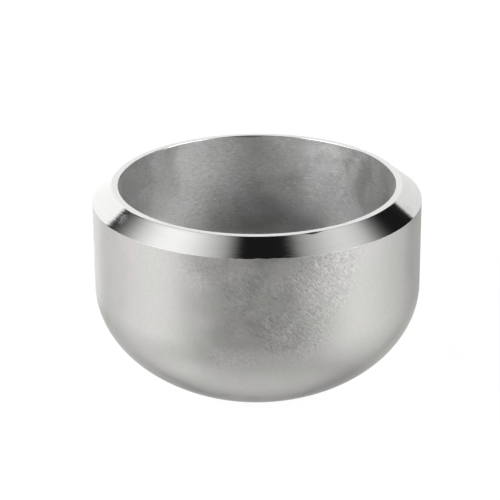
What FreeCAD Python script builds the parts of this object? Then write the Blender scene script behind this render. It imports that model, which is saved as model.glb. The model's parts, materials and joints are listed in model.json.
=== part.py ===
import FreeCAD, Part

import math
import os

# Seamless butt-weld pipe cap for DN 100 (NPS 4) pipe, in millimetres.
# The origin is the centre of the weld-end face. +Z points out of the open end, along the pipe
# that the cap is welded to, so the whole cap lies below Z = 0, with its dome at the bottom.

# Driving dimensions
OUTSIDE_DIAMETER = 114.3
WALL = 9.0
OVERALL_LENGTH = 76.0   # from the weld-end face to the outside of the dome's crown
SKIRT_LENGTH = 36.4     # from the weld-end face to the line where the dome begins
ROOT_FACE_WIDTH = 2.3   # the flat ring left inside the weld bevel
BEVEL_DEGREES = 38.0    # slope of the weld bevel down from the root face

# Worked out from the driving dimensions
OUTER_RADIUS = OUTSIDE_DIAMETER / 2
INNER_RADIUS = OUTER_RADIUS - WALL
OUTER_DOME_DEPTH = OVERALL_LENGTH - SKIRT_LENGTH
INNER_DOME_DEPTH = OUTER_DOME_DEPTH - WALL
ROOT_FACE_RADIUS = INNER_RADIUS + ROOT_FACE_WIDTH
BEVEL_HEIGHT = (OUTER_RADIUS - ROOT_FACE_RADIUS) * math.tan(math.radians(BEVEL_DEGREES))

AXIS_POINT = FreeCAD.Vector(0, 0, 0)
UP = FreeCAD.Vector(0, 0, 1)


def profile_point(radius, height):
    """A point of the half section, which lies in the XZ plane."""
    return FreeCAD.Vector(radius, 0, height)


def straight(start, end):
    """A straight edge of the half section between two (radius, height) points."""
    return Part.LineSegment(profile_point(*start), profile_point(*end)).toShape()


def dome_curve(radius, depth):
    """A quarter ellipse, as a B-spline, from the skirt's wall at the tangent line down to the axis."""
    centre = profile_point(0, -SKIRT_LENGTH)
    rim = profile_point(radius, -SKIRT_LENGTH)
    crown = profile_point(0, -SKIRT_LENGTH - depth)
    quarter = Part.ArcOfEllipse(Part.Ellipse(rim, crown, centre), 0, math.pi / 2)
    return quarter.toBSpline().toShape()


def pipe_cap():
    """The whole cap: its half section, closed along the axis, turned through a full circle."""
    section = Part.Wire(Part.__sortEdges__([
        straight((0, -OVERALL_LENGTH + WALL), (0, -OVERALL_LENGTH)),
        dome_curve(OUTER_RADIUS, OUTER_DOME_DEPTH),
        straight((OUTER_RADIUS, -SKIRT_LENGTH), (OUTER_RADIUS, -BEVEL_HEIGHT)),
        straight((OUTER_RADIUS, -BEVEL_HEIGHT), (ROOT_FACE_RADIUS, 0)),
        straight((ROOT_FACE_RADIUS, 0), (INNER_RADIUS, 0)),
        straight((INNER_RADIUS, 0), (INNER_RADIUS, -SKIRT_LENGTH)),
        dome_curve(INNER_RADIUS, INNER_DOME_DEPTH),
    ]))
    return Part.Face(section).revolve(AXIS_POINT, UP, 360)


os.makedirs("parts", exist_ok=True)
pipe_cap().exportStep("parts/pipe_cap.step")
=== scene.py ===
import json
import math

import bpy
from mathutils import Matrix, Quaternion, Vector, noise


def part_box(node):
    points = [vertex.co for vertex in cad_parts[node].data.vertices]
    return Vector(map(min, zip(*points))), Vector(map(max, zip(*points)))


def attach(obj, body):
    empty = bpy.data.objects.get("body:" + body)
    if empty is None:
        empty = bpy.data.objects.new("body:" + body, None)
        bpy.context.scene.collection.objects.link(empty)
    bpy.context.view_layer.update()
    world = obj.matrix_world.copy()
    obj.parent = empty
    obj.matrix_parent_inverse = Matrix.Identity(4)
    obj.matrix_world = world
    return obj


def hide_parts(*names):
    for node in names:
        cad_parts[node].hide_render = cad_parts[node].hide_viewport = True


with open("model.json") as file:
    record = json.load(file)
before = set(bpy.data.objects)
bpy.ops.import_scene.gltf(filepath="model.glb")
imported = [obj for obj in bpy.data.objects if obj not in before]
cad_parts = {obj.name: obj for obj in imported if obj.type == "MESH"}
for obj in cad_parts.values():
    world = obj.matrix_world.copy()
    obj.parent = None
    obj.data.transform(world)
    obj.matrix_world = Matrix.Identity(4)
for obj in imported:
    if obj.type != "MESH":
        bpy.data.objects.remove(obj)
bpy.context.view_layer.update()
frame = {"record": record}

# Metres throughout. The cap stands on its dome with its open end up. The origin is the centre
# of its weld-end face, and azimuths are degrees round the axis from the front (-Y) to the right (+X).
MM = 0.001

# Sizes of the cap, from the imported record
mounts = {m["name"]: m for m in frame["record"]["mounts"]}
INNER_RADIUS = mounts["weld_end_bore"]["dims"]["r_mm"] * MM
OUTER_RADIUS = mounts["weld_end_outside"]["dims"]["r_mm"] * MM
SKIRT_LENGTH = mounts["weld_end_bore"]["dims"]["length_mm"] * MM
BEVEL_HEIGHT = SKIRT_LENGTH - mounts["weld_end_outside"]["dims"]["length_mm"] * MM
ROOT_FACE_RADIUS = 2 * mounts["root_face"]["pos_m"][0] - INNER_RADIUS
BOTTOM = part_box("pipe_cap")[0].z
WALL = OUTER_RADIUS - INNER_RADIUS
OUTER_DOME_DEPTH = -BOTTOM - SKIRT_LENGTH
INNER_DOME_DEPTH = OUTER_DOME_DEPTH - WALL
BEVEL_SLOPE = BEVEL_HEIGHT / (OUTER_RADIUS - ROOT_FACE_RADIUS)

# Surface regions, which are also the mesh's material slots
OUTER_SKIN, BEVEL, ROOT_FACE, INNER_SKIN = range(4)

# Mesh density
COLUMNS = 512                  # round the cap at full density
OUTER_SPACING = 0.92 * MM      # between rings on the outer skin
INNER_SPACING = 1.7 * MM
POLE_RADIUS = 1.5 * MM         # the first ring round each crown
THINNING_RADIUS = 26 * MM      # the columns halve inside this radius, and again at each half of it
WIDEST_STEP = 16               # columns stepped over at most

# Edges left by machining
FOOT_EDGE = 0.02 * MM          # between the bevel and the skirt
ROOT_EDGE = 0.10 * MM          # between the root face and the bevel
BORE_EDGE = 0.16 * MM          # between the root face and the bore

# Places where those edges are knocked or dressed wider: azimuth, half length in degrees, extra width
WIDER_ROOT_EDGE = (
    (21.0, 2.8, 0.75 * MM),
    (-52.0, 4.0, 0.28 * MM),
    (131.0, 2.0, 0.40 * MM),
)
WIDER_BORE_EDGE = (
    (184.0, 7.5, 0.42 * MM),
    (-137.0, 5.0, 0.15 * MM),
    (36.0, 3.0, 0.20 * MM),
)

# Dents in the skin along the bevel's foot: azimuth, half length, depth
FOOT_DENTS = (
    (-9.0, 1.3 * MM, 0.16 * MM),
    (-5.5, 1.0 * MM, 0.12 * MM),
    (0.5, 1.8 * MM, 0.22 * MM),
    (5.5, 1.4 * MM, 0.18 * MM),
    (8.5, 1.0 * MM, 0.12 * MM),
    (116.0, 1.6 * MM, 0.16 * MM),
    (204.0, 1.8 * MM, 0.20 * MM),
    (210.0, 1.2 * MM, 0.14 * MM),
)
DENT_REACH = 0.9 * MM          # how far down the skirt a dent fades
FADE_BELOW_BORE_EDGE = 2.5 * MM     # the inner skin's waves start from nothing over this depth

# Shares along a machined face, closer together near its two edges
HELD_SHARES = (0.006, 0.04, 0.12, 0.22, 0.34, 0.46, 0.58, 0.70, 0.81, 0.90, 0.96, 0.994)
FLAT_SHARES = (0.03, 0.15, 0.4, 0.7, 0.9, 0.98)
ROUNDING_STEPS = 5
BORE_ROUNDING_STEPS = 7


# ---------------------------------------------------------------- the cap's mesh

def turned(radius, height, azimuth):
    """The point at a radius and height, at an azimuth in radians from the front."""
    return Vector((radius * math.sin(azimuth), -radius * math.cos(azimuth), height))


def smooth_step(value, low, high):
    """0 at low, 1 at high and smooth between them."""
    t = min(max((value - low) / (high - low), 0.0), 1.0)
    return t * t * (3 - 2 * t)


def outer_unevenness(point):
    """How far the pressed outer skin lies inside its nominal surface at a point."""
    broad = 0.5 + 0.5 * noise.noise(point / (17 * MM) + Vector((3.1, 0.4, 7.7)))
    middle = 0.5 + 0.5 * noise.noise(point / (5.5 * MM) + Vector((8.2, 5.1, 1.3)))
    return (0.06 * broad + 0.015 * middle) * MM


def inner_unevenness(point):
    """How far the pressed inner skin stands off its nominal surface, either way."""
    broad = noise.noise(point / (14 * MM) + Vector((1.7, 9.4, 2.2)))
    flat = Vector((point.x, point.y, point.z * 2.2))
    middle = noise.noise(flat / (6 * MM) + Vector((4.4, 0.9, 6.1)))
    return (0.15 * broad + 0.07 * middle) * MM


def ellipse_stations(radius, depth, spacing):
    """Angles of a quarter ellipse from near its crown to its rim, evenly spaced along the curve."""
    steps = 2000                # fine enough to measure the curve's length
    first = math.acos(POLE_RADIUS / radius)
    angles = [first * (1 - i / steps) for i in range(steps + 1)]
    lengths = [0.0]
    for a, b in zip(angles, angles[1:]):
        mean = (a + b) / 2
        lengths.append(lengths[-1] + (a - b) * math.hypot(radius * math.sin(mean), depth * math.cos(mean)))
    count = round(lengths[-1] / spacing)
    chosen, i = [], 0
    for k in range(count + 1):
        while i < steps and lengths[i] < lengths[-1] * k / count:
            i += 1
        chosen.append(angles[i])
    return chosen


def rounded(before, corner, after, size, steps=ROUNDING_STEPS):
    """A small curve in place of a corner, from size before it to size after it."""
    start = corner + (before - corner).normalized() * size
    end = corner + (after - corner).normalized() * size
    points = []
    for i in range(steps + 1):
        t = i / steps
        points.append(start * (1 - t) ** 2 + corner * (2 * t * (1 - t)) + end * t ** 2)
    return points


def between(start, end, shares):
    """Points at shares of the way from start to end."""
    return [start.lerp(end, share) for share in shares]


# Shares along the straight walls, closer together near their machined ends
SKIRT_RINGS = round((SKIRT_LENGTH - BEVEL_HEIGHT) / OUTER_SPACING)
BORE_RINGS = round(SKIRT_LENGTH / INNER_SPACING)
SKIRT_SHARES = [(i + 1) / SKIRT_RINGS for i in range(SKIRT_RINGS - 1)]
SKIRT_SHARES += [1 - gap / SKIRT_RINGS for gap in (0.6, 0.3, 0.12)]
BORE_SHARES = [0.002, 0.012] + [(i + 1) / BORE_RINGS for i in range(BORE_RINGS - 1)]
OUTER_STATIONS = ellipse_stations(OUTER_RADIUS, OUTER_DOME_DEPTH, OUTER_SPACING)
INNER_STATIONS = ellipse_stations(INNER_RADIUS, INNER_DOME_DEPTH, INNER_SPACING)


def bump_at(azimuth, centre_degrees, half_angle):
    """1 at a centre azimuth, fading to 0 within about twice the half angle."""
    turn = (azimuth - math.radians(centre_degrees) + math.pi) % (2 * math.pi) - math.pi
    return math.exp(-(turn / half_angle) ** 2)


def edge_width(azimuth, plain, wider):
    """How wide a machined edge is at an azimuth."""
    return plain + sum(extra * bump_at(azimuth, centre, math.radians(half)) for centre, half, extra in wider)


def foot_dent(azimuth, drop):
    """How deep the dents along the bevel's foot are, at a drop below it."""
    around = 0.0
    for centre, half_length, deepest in FOOT_DENTS:
        around += deepest * bump_at(azimuth, centre, half_length / OUTER_RADIUS)
    return around * math.exp(-(drop / DENT_REACH) ** 2)


def half_section(azimuth):
    """The cap's half section at an azimuth, as (radius, height) points with their regions.

    It runs from the outer crown up the outside, over the weld end and down the inside.
    """
    outline = []

    def add(region, points):
        outline.extend((point, region) for point in points)

    def outer(point, normal):
        place = turned(point.x, point.y, azimuth)
        return point - normal * outer_unevenness(place)

    def inner(point, normal):
        fade = smooth_step(-point.y, 0.0, FADE_BELOW_BORE_EDGE)
        place = turned(point.x, point.y, azimuth)
        return point - normal * inner_unevenness(place) * fade

    for angle in OUTER_STATIONS:
        nominal = Vector((OUTER_RADIUS * math.cos(angle), -SKIRT_LENGTH - OUTER_DOME_DEPTH * math.sin(angle)))
        normal = Vector((OUTER_DOME_DEPTH * math.cos(angle), -OUTER_RADIUS * math.sin(angle))).normalized()
        add(OUTER_SKIN, [outer(nominal, normal)])

    outward = Vector((1.0, 0.0))
    foot_radius = outer(Vector((OUTER_RADIUS, -BEVEL_HEIGHT)), outward).x - foot_dent(azimuth, 0.0)
    foot = Vector((foot_radius, -(foot_radius - ROOT_FACE_RADIUS) * BEVEL_SLOPE))
    for point in between(Vector((OUTER_RADIUS, -SKIRT_LENGTH)), Vector((OUTER_RADIUS, foot.y)), SKIRT_SHARES):
        add(OUTER_SKIN, [outer(point, outward) - outward * foot_dent(azimuth, foot.y - point.y)])

    root = Vector((ROOT_FACE_RADIUS, 0.0))
    bore_corner = Vector((INNER_RADIUS, 0.0))
    below_foot = Vector((foot_radius, -SKIRT_LENGTH))
    below_bore = Vector((INNER_RADIUS, -SKIRT_LENGTH))
    root_edge = edge_width(azimuth, ROOT_EDGE, WIDER_ROOT_EDGE)
    bore_edge = edge_width(azimuth, BORE_EDGE, WIDER_BORE_EDGE)
    add(OUTER_SKIN, rounded(below_foot, foot, root, FOOT_EDGE))
    add(BEVEL, between(foot, root + (foot - root).normalized() * root_edge, HELD_SHARES))
    add(BEVEL, rounded(foot, root, bore_corner, root_edge))
    flat_start = root + (bore_corner - root).normalized() * root_edge
    flat_end = bore_corner + (root - bore_corner).normalized() * bore_edge
    add(ROOT_FACE, between(flat_start, flat_end, FLAT_SHARES))
    add(ROOT_FACE, rounded(root, bore_corner, below_bore, bore_edge, BORE_ROUNDING_STEPS))

    bore_start = bore_corner + (below_bore - bore_corner).normalized() * bore_edge
    for point in between(bore_start, below_bore, BORE_SHARES):
        add(INNER_SKIN, [inner(point, -outward)])
    for angle in reversed(INNER_STATIONS):
        nominal = Vector((INNER_RADIUS * math.cos(angle), -SKIRT_LENGTH - INNER_DOME_DEPTH * math.sin(angle)))
        normal = -Vector((INNER_DOME_DEPTH * math.cos(angle), -INNER_RADIUS * math.sin(angle))).normalized()
        add(INNER_SKIN, [inner(nominal, normal)])
    return outline


def thinning(radius):
    """How many columns to step over at a radius, so that the crowns aren't crowded."""
    step = 1
    while radius < THINNING_RADIUS / step and step < WIDEST_STEP:
        step *= 2
    return step


def band(lower, upper):
    """Faces between two rings, the same size or one twice the other."""
    faces = []
    for k in range(min(len(lower), len(upper))):
        if len(lower) == len(upper):
            after = (k + 1) % len(lower)
            faces.append((lower[k], lower[after], upper[after], upper[k]))
        elif len(lower) < len(upper):
            a, b = lower[k], lower[(k + 1) % len(lower)]
            c, d, e = upper[2 * k], upper[2 * k + 1], upper[(2 * k + 2) % len(upper)]
            faces += [(a, b, d), (a, d, c), (b, e, d)]
        else:
            a, m, b = lower[2 * k], lower[2 * k + 1], lower[(2 * k + 2) % len(lower)]
            c, d = upper[k], upper[(k + 1) % len(upper)]
            faces += [(a, m, c), (m, d, c), (m, b, d)]
    return faces


def cap_mesh():
    """The whole skin of the cap as one closed mesh, with a material slot for each region."""
    azimuths = [2 * math.pi * k / COLUMNS for k in range(COLUMNS)]
    sections = [half_section(azimuth) for azimuth in azimuths]
    points, rings = [], []
    for i, (first, _) in enumerate(sections[0]):
        ring = []
        for k in range(0, COLUMNS, thinning(first.x)):
            ring.append(len(points))
            point = sections[k][i][0]
            points.append(turned(point.x, point.y, azimuths[k]))
        rings.append(ring)

    faces, regions = [], []
    for i in range(len(rings) - 1):
        made = band(rings[i], rings[i + 1])
        faces += made
        regions += [sections[0][i + 1][1]] * len(made)

    for ring, region in ((rings[0], OUTER_SKIN), (rings[-1], INNER_SKIN)):
        middle = sum((points[k] for k in ring), Vector()) / len(ring)
        pole = len(points)
        points.append(middle)
        for k in range(len(ring)):
            pair = (ring[k], ring[(k + 1) % len(ring)])
            faces.append((*pair, pole) if region == INNER_SKIN else (*reversed(pair), pole))
            regions.append(region)

    mesh = bpy.data.meshes.new("pipe_cap_skin")
    mesh.from_pydata(points, [], faces)
    mesh.polygons.foreach_set("material_index", regions)
    mesh.polygons.foreach_set("use_smooth", [True] * len(faces))
    mesh.update()
    return mesh


# ---------------------------------------------------------------- node building

class Graph:
    """Short ways to add and link nodes in one node tree."""

    def __init__(self, tree):
        self.tree = tree
        tree.nodes.clear()

    def node(self, kind, inputs=None, **settings):
        made = self.tree.nodes.new(kind)
        for name, value in settings.items():
            setattr(made, name, value)
        for name, value in (inputs or {}).items():
            if isinstance(value, bpy.types.NodeSocket):
                self.tree.links.new(value, made.inputs[name])
            else:
                made.inputs[name].default_value = value
        return made

    def math(self, operation, first, second=0.0, third=0.0):
        return self.node("ShaderNodeMath", {0: first, 1: second, 2: third}, operation=operation).outputs[0]

    def add(self, *values):
        total = values[0]
        for value in values[1:]:
            total = self.math("ADD", total, value)
        return total

    def times(self, *values):
        product = values[0]
        for value in values[1:]:
            product = self.math("MULTIPLY", product, value)
        return product

    def ramp(self, value, low, high, to_low=0.0, to_high=1.0, smooth=True):
        inputs = {"Value": value, "From Min": low, "From Max": high, "To Min": to_low, "To Max": to_high}
        kind = "SMOOTHSTEP" if smooth else "LINEAR"
        return self.node("ShaderNodeMapRange", inputs, interpolation_type=kind).outputs[0]

    def noise(self, vector, scale, detail=2.0, roughness=0.5, distortion=0.0):
        inputs = {"Vector": vector, "Scale": scale, "Detail": detail, "Roughness": roughness,
                  "Distortion": distortion}
        return self.node("ShaderNodeTexNoise", inputs).outputs["Fac"]

    def vector(self, x, y, z):
        return self.node("ShaderNodeCombineXYZ", {"X": x, "Y": y, "Z": z}).outputs[0]

    def mix_colour(self, factor, first, second):
        colours = {"Factor": factor, 6: (*first, 1.0), 7: (*second, 1.0)}
        return self.node("ShaderNodeMix", colours, data_type="RGBA").outputs[2]

    def shaded(self, colour, level):
        """A colour times a level, as a colour socket."""
        levels = self.vector(level, level, level)
        return self.node("ShaderNodeVectorMath", {0: colour, 1: levels}, operation="MULTIPLY").outputs[0]


def new_material(name):
    material = bpy.data.materials.new(name)
    material.use_nodes = True
    return material, Graph(material.node_tree)


def millimetres(graph):
    """The place on the cap in millimetres, as a vector and as its x, y and z."""
    place = graph.node("ShaderNodeTexCoord").outputs["Object"]
    scaled = graph.node("ShaderNodeVectorMath", {0: place, 1: (1000.0,) * 3}, operation="MULTIPLY").outputs[0]
    parts = graph.node("ShaderNodeSeparateXYZ", {0: scaled})
    return scaled, parts.outputs[0], parts.outputs[1], parts.outputs[2]


# ---------------------------------------------------------------- materials

DEGREES = 180 / math.pi        # in a radian

# Distances from a zone's middle, in half widths, where it has faded out and where it is whole
ZONE_FADED, ZONE_WHOLE = 1.3, 0.55

# Heights of the fine marks, where a whole wrinkle or tool line is 1
GRAIN = 0.10
BRUSHED = 0.06
PIT = 0.5

# Turned faces: how slowly a tool line changes round the axis, how much duller a smudge is, and how
# far and at what part of a turn the gloss is drawn out by the lines
TOOL_LINE_STRETCH = 0.025
SMUDGE_ROUGHNESS = 0.24
GLOSS_SPREAD = 0.6
GLOSS_TURN = 0.25

# Heights in mm between which painted shade darkens the pressed skin's colour towards the dome
SHADE_DEEP, SHADE_FROM = -40.0, -10.0


def near_zones(g, azimuth, z, zones):
    """The strength of the strongest soft-edged zone at a place.

    The zones are azimuth, height in mm, half width in degrees, half height in mm, strength.
    """
    strongest = 0.0
    for zone_azimuth, zone_height, half_width, half_height, strength in zones:
        turn = g.math("WRAP", g.math("SUBTRACT", azimuth, zone_azimuth), 180.0, -180.0)
        across = g.math("DIVIDE", turn, half_width)
        along = g.math("DIVIDE", g.math("SUBTRACT", z, zone_height), half_height)
        distance = g.math("SQRT", g.add(g.times(across, across), g.times(along, along)))
        strongest = g.math("MAXIMUM", g.ramp(distance, ZONE_FADED, ZONE_WHOLE, 0.0, strength), strongest)
    return strongest


def pressed_skin(name, tints, roughness, wrinkles, painted_relief_contrast, depth_shade, zones):
    """Pickled and blasted stainless steel with the wrinkled grain of a pressed surface.

    wrinkles is their turn about Y, size in mm, height and strength outside the zones. Their crests
    are painted lighter and their hollows darker, a painted highlight and shade that follow the relief.
    depth_shade paints shade, darkening the skin towards the dome.
    """
    material, g = new_material(name)
    place, x, y, z = millimetres(g)
    azimuth = g.times(g.math("ARCTAN2", x, g.times(y, -1.0)), DEGREES)

    turn, size, wrinkle_height, plain_strength = wrinkles
    turned_place = g.node("ShaderNodeMapping", {
        "Vector": place, "Rotation": (0.0, math.radians(turn), 0.0), "Scale": size}, vector_type="TEXTURE")
    ridges = g.math("SUBTRACT", g.noise(turned_place.outputs[0], 1.0, 2.5, 0.55, 0.7), 0.5)
    mottled = g.ramp(g.noise(place, 0.11, 3.0, 0.6), 0.34, 0.66, 0.75, 1.15)
    strength = g.times(g.add(near_zones(g, azimuth, z, zones), plain_strength), mottled)
    grain = g.times(g.noise(place, 2.4, 2.0, 0.6), GRAIN)
    brushed = g.times(g.noise(g.vector(g.times(x, 0.05), g.times(y, 0.05), z), 3.0, 3.0, 0.6), BRUSHED)

    pit_cells = g.node("ShaderNodeTexVoronoi", {"Vector": place, "Scale": 0.22, "Randomness": 1.0})
    chosen = g.ramp(g.node("ShaderNodeSeparateColor", {0: pit_cells.outputs["Color"]}).outputs[0], 0.55, 0.9)
    pits = g.times(g.ramp(pit_cells.outputs["Distance"], 0.10, 0.02), chosen, -PIT)

    height = g.add(g.times(ridges, strength), grain, brushed, pits)
    bump = g.node("ShaderNodeBump", {"Strength": 1.0, "Distance": wrinkle_height, "Height": height})

    first, second = tints
    tint = g.mix_colour(g.ramp(g.noise(place, 0.06, 2.0), 0.35, 0.65), first, second)
    speckle = g.ramp(g.noise(place, 1.4, 3.0, 0.7), 0.2, 0.8, 0.88, 1.0)
    # Painted highlight and shade: the colour is lighter on the wrinkles' crests and darker in their hollows
    crest_highlight_and_hollow_shade = g.add(g.times(ridges, strength, painted_relief_contrast), 1.0)
    # Painted shade: the colour darkens deeper in, towards the dome
    level = g.times(speckle, crest_highlight_and_hollow_shade, g.ramp(z, SHADE_DEEP, SHADE_FROM, depth_shade, 1.0))
    dull = g.ramp(g.noise(place, 0.12, 3.0, 0.6), 0.3, 0.7, roughness - 0.04, roughness + 0.05)
    shader = g.node("ShaderNodeBsdfPrincipled", {
        "Base Color": g.shaded(tint, level), "Metallic": 1.0, "Roughness": dull, "Normal": bump.outputs[0]})
    g.node("ShaderNodeOutputMaterial", {"Surface": shader.outputs[0]})
    return material


def machined_steel(name, tint, roughness, ring_depth, along_axis, smudges):
    """Freshly turned stainless steel: nearly a mirror, with fine tool lines round the axis.

    along_axis is 0 on a flat face and 1 on a sloping one, where the lines also step with height.
    smudges are duller zones, as for near_zones.
    """
    material, g = new_material(name)
    place, x, y, z = millimetres(g)
    azimuth = g.math("ARCTAN2", x, g.times(y, -1.0))
    radius = g.math("SQRT", g.add(g.times(x, x), g.times(y, y)))
    across = g.add(radius, g.times(z, -along_axis))
    drawn_out = g.times(x, TOOL_LINE_STRETCH), g.times(y, TOOL_LINE_STRETCH)
    lines = g.noise(g.vector(*drawn_out, g.times(across, 1.6)), 1.0, 4.0, 0.65)
    fine_lines = g.noise(g.vector(*drawn_out, g.times(across, 6.0)), 1.0, 2.0, 0.6)
    speck_cells = g.node("ShaderNodeTexVoronoi", {"Vector": place, "Scale": 0.30})
    specks = g.ramp(speck_cells.outputs["Distance"], 0.09, 0.03)
    height = g.add(lines, g.times(fine_lines, 0.22), g.times(specks, -PIT))
    bump = g.node("ShaderNodeBump", {"Strength": 1.0, "Distance": ring_depth, "Height": height})
    smudged = g.times(near_zones(g, g.times(azimuth, DEGREES), z, smudges),
                      g.ramp(g.noise(place, 0.5, 2.0, 0.5), 0.2, 0.6))
    lined = g.ramp(fine_lines, 0.3, 0.7, roughness - 0.01, roughness + 0.03, smooth=False)
    rough = g.add(lined, g.times(smudged, SMUDGE_ROUGHNESS))
    bright = g.ramp(lines, 0.25, 0.75, 0.95, 1.0)
    tangent = g.node("ShaderNodeTangent", direction_type="RADIAL", axis="Z")
    shader = g.node("ShaderNodeBsdfPrincipled", {
        "Base Color": g.shaded(tint, bright), "Metallic": 1.0, "Roughness": rough,
        "Anisotropic": GLOSS_SPREAD, "Anisotropic Rotation": GLOSS_TURN,
        "Tangent": tangent.outputs[0], "Normal": bump.outputs[0]})
    g.node("ShaderNodeOutputMaterial", {"Surface": shader.outputs[0]})
    return material


# Zones of stronger wrinkles: azimuth, height in mm, half width in degrees, half height in mm, strength
OUTER_ZONES = (
    (22.0, -13.0, 14.0, 14.0, 0.85),
    (11.0, -30.0, 14.0, 12.0, 0.90),
    (-1.0, -20.0, 14.0, 15.0, 0.65),
    (-18.0, -11.0, 11.0, 7.0, 0.50),
    (-8.0, -41.0, 10.0, 4.0, 0.60),
    (96.0, -20.0, 16.0, 13.0, 0.65),
    (-131.0, -24.0, 20.0, 12.0, 0.50),
    (170.0, -12.0, 14.0, 9.0, 0.50),
)
INNER_ZONES = (
    (146.0, -10.0, 40.0, 18.0, 0.35),
    (-150.0, -12.0, 40.0, 22.0, 0.30),
)

# Zones where the bevel has been touched and is duller
BEVEL_SMUDGES = (
    (-57.0, -2.2, 2.4, 1.4, 0.45),
    (71.0, -2.9, 2.2, 1.6, 0.5),
    (-118.0, -2.5, 5.0, 2.0, 0.25),
    (140.0, -3.0, 6.0, 1.5, 0.25),
)


def make_cap():
    cap = bpy.data.objects.new("pipe_cap_skin", cap_mesh())
    bpy.context.scene.collection.objects.link(cap)
    outer_tints = (0.626, 0.634, 0.598), (0.652, 0.628, 0.626)
    # The inner skin's tints are lighter than the outer skin's, as painted light that brightens the inside of
    # the cap
    inner_tints_with_painted_light = (0.790, 0.799, 0.777), (0.803, 0.792, 0.799)
    materials = {
        OUTER_SKIN: pressed_skin("pickled_outer_skin", outer_tints, 0.40,
                                 (48.0, (1.35, 0.9, 0.52), 0.11 * MM, 0.07), 1.30, 1.0, OUTER_ZONES),
        BEVEL: machined_steel("turned_bevel", (0.80, 0.80, 0.785), 0.055, 0.011 * MM, 1.0, BEVEL_SMUDGES),
        ROOT_FACE: machined_steel("faced_root", (0.72, 0.72, 0.71), 0.20, 0.003 * MM, 0.0, ()),
        INNER_SKIN: pressed_skin("pickled_inner_skin", inner_tints_with_painted_light, 0.36,
                                 (5.0, (1.8, 1.8, 0.55), 0.08 * MM, 0.50), 0.85, 0.76, INNER_ZONES),
    }
    for region in (OUTER_SKIN, BEVEL, ROOT_FACE, INNER_SKIN):
        cap.data.materials.append(materials[region])
    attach(cap, "root")
    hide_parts("pipe_cap")


# ---------------------------------------------------------------- floor, light and camera

FLOOR_REACH = 4.0              # from the axis to each side of the floor
FLOOR_GREY = 0.10
FLOOR_GLOW = 0.93
WHITE = (1.0, 1.0, 1.0, 1.0)


def make_floor():
    """A white sheet under the cap, which only the camera sees.

    The light that a floor throws back at the cap is among the studio's lights.
    """
    reach = FLOOR_REACH
    mesh = bpy.data.meshes.new("floor")
    corners = [(x * reach, y * reach, BOTTOM) for x, y in ((-1, -1), (1, -1), (1, 1), (-1, 1))]
    mesh.from_pydata(corners, [], [(0, 1, 2, 3)])
    floor = bpy.data.objects.new("floor", mesh)
    bpy.context.scene.collection.objects.link(floor)
    floor.visible_diffuse = False
    floor.visible_glossy = False
    floor.visible_shadow = False
    material, g = new_material("pale_floor")
    diffuse = g.node("ShaderNodeBsdfDiffuse", {"Color": (FLOOR_GREY, FLOOR_GREY, FLOOR_GREY, 1.0)})
    glow = g.node("ShaderNodeEmission", {"Color": WHITE, "Strength": FLOOR_GLOW})
    both = g.node("ShaderNodeAddShader", {0: diffuse.outputs[0], 1: glow.outputs[0]})
    g.node("ShaderNodeOutputMaterial", {"Surface": both.outputs[0]})
    mesh.materials.append(material)


# Studio lights as soft-edged patches all round the cap: from and to azimuth from the back (+Y)
# towards the right, from and to elevation, softness of the sides, softness of the top and bottom,
# strength. Those below the horizon are the light that the floor throws back.
LIGHTS = (
    ("backdrop_left", -46, 8, -24, 38, 0.8, 2, 1.12),
    ("backdrop_right", 8, 40.5, -20, 31, 0.8, 2, 0.85),
    ("left_softbox", -140, -92, 7, 41, 12, 6, 7.8),
    ("right_softbox", 96, 139, 7, 41, 7, 6, 7.6),
    ("left_top", -130, -60, 30, 73, 16, 15, 1.13),
    ("right_top", 61, 114, 43.5, 70.5, 9, 14, 0.80),
    ("front_top", 140, 220, 38, 64, 9, 7, 0.28),
    ("back_top", -30, 26, 56, 70, 8, 7, 0.24),
    ("floor", -181, 181, -95, -60, 3, 9, 0.75),
    ("floor_left", -128, -46, -64, -2, 11, 5, 0.84),
    ("floor_right", 50, 126, -56, -5, 10, 7, 0.84),
    ("floor_front_left", -150, -86, -34, 10, 13, 8, 0.30),
    ("floor_front_right", 92, 145, -38, 10, 9, 8, 0.32),
    ("floor_back", -37, 39, -46, -22, 8, 4, 0.76),
    ("floor_front", 128, 222, -56, -24, 18, 8, 0.58),
)
DIM_ROOM = 0.011
PALE_BACKGROUND = 1.0
LIGHT_MAP_SIZE = 2048          # fine enough to hold the patches' edges


def window(g, value, low, high, soft):
    """1 between low and high, 0 outside, with soft degrees of fade across each end."""
    rise = g.ramp(value, low - soft, low + soft)
    fall = g.ramp(value, high + soft, high - soft)
    return g.times(rise, fall)


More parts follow.
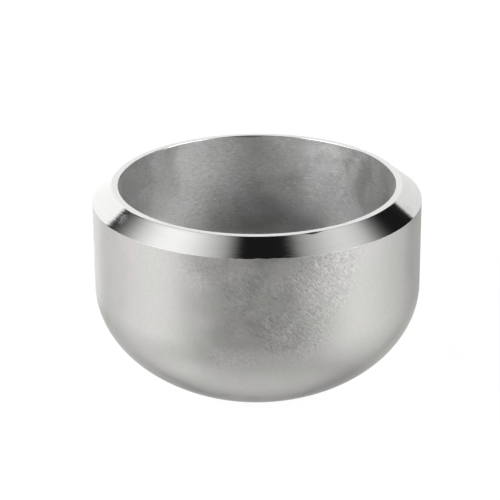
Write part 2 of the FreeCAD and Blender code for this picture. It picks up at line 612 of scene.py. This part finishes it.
def make_light():
    world = bpy.data.worlds.new("studio")
    bpy.context.scene.world = world
    world.use_nodes = True
    g = Graph(world.node_tree)
    direction = g.node("ShaderNodeTexCoord").outputs["Generated"]
    parts = g.node("ShaderNodeSeparateXYZ", {0: direction})
    x, y, z = parts.outputs[0], parts.outputs[1], parts.outputs[2]
    azimuth = g.times(g.math("ARCTAN2", x, y), DEGREES)
    elevation = g.times(g.math("ARCSINE", z), DEGREES)
    total = DIM_ROOM
    for _, left, right, low, high, side_soft, end_soft, strength in LIGHTS:
        middle, half_width = (left + right) / 2, (right - left) / 2
        turn = g.math("WRAP", g.math("SUBTRACT", azimuth, middle), 180.0, -180.0)
        across = window(g, turn, -half_width, half_width, side_soft)
        along = window(g, elevation, low, high, end_soft)
        total = g.add(total, g.times(across, along, strength))
    seen = g.node("ShaderNodeLightPath").outputs["Is Camera Ray"]
    lit = g.node("ShaderNodeBackground", {"Color": WHITE, "Strength": total})
    plain = g.node("ShaderNodeBackground", {"Color": WHITE, "Strength": PALE_BACKGROUND})
    either = g.node("ShaderNodeMixShader", {0: seen, 1: lit.outputs[0], 2: plain.outputs[0]})
    g.node("ShaderNodeOutputWorld", {"Surface": either.outputs[0]})
    world.cycles.sampling_method = "MANUAL"
    world.cycles.sample_map_resolution = LIGHT_MAP_SIZE


CAMERA_DISTANCE = 0.731        # from the centre of the weld end
CAMERA_ELEVATION = math.radians(20.62)
CAMERA_ROLL = math.radians(0.366)
CAMERA_LENS = 151.85
CAMERA_SENSOR = 36.0
CAMERA_AIM = Vector((-2.52 * MM, 0.0, -25.54 * MM))


def make_camera():
    data = bpy.data.cameras.new("camera")
    data.lens = CAMERA_LENS
    data.sensor_width = CAMERA_SENSOR
    camera = bpy.data.objects.new("camera", data)
    bpy.context.scene.collection.objects.link(camera)
    camera.location = turned(CAMERA_DISTANCE * math.cos(CAMERA_ELEVATION),
                             CAMERA_DISTANCE * math.sin(CAMERA_ELEVATION), 0.0)
    towards = (CAMERA_AIM - camera.location).to_track_quat("-Z", "Y")
    camera.rotation_mode = "QUATERNION"
    camera.rotation_quaternion = towards @ Quaternion((0.0, 0.0, 1.0), -CAMERA_ROLL)
    bpy.context.scene.camera = camera


make_cap()
make_floor()
make_light()
make_camera()
scene = bpy.context.scene
scene.view_settings.view_transform = "Standard"
scene.view_settings.look = "None"
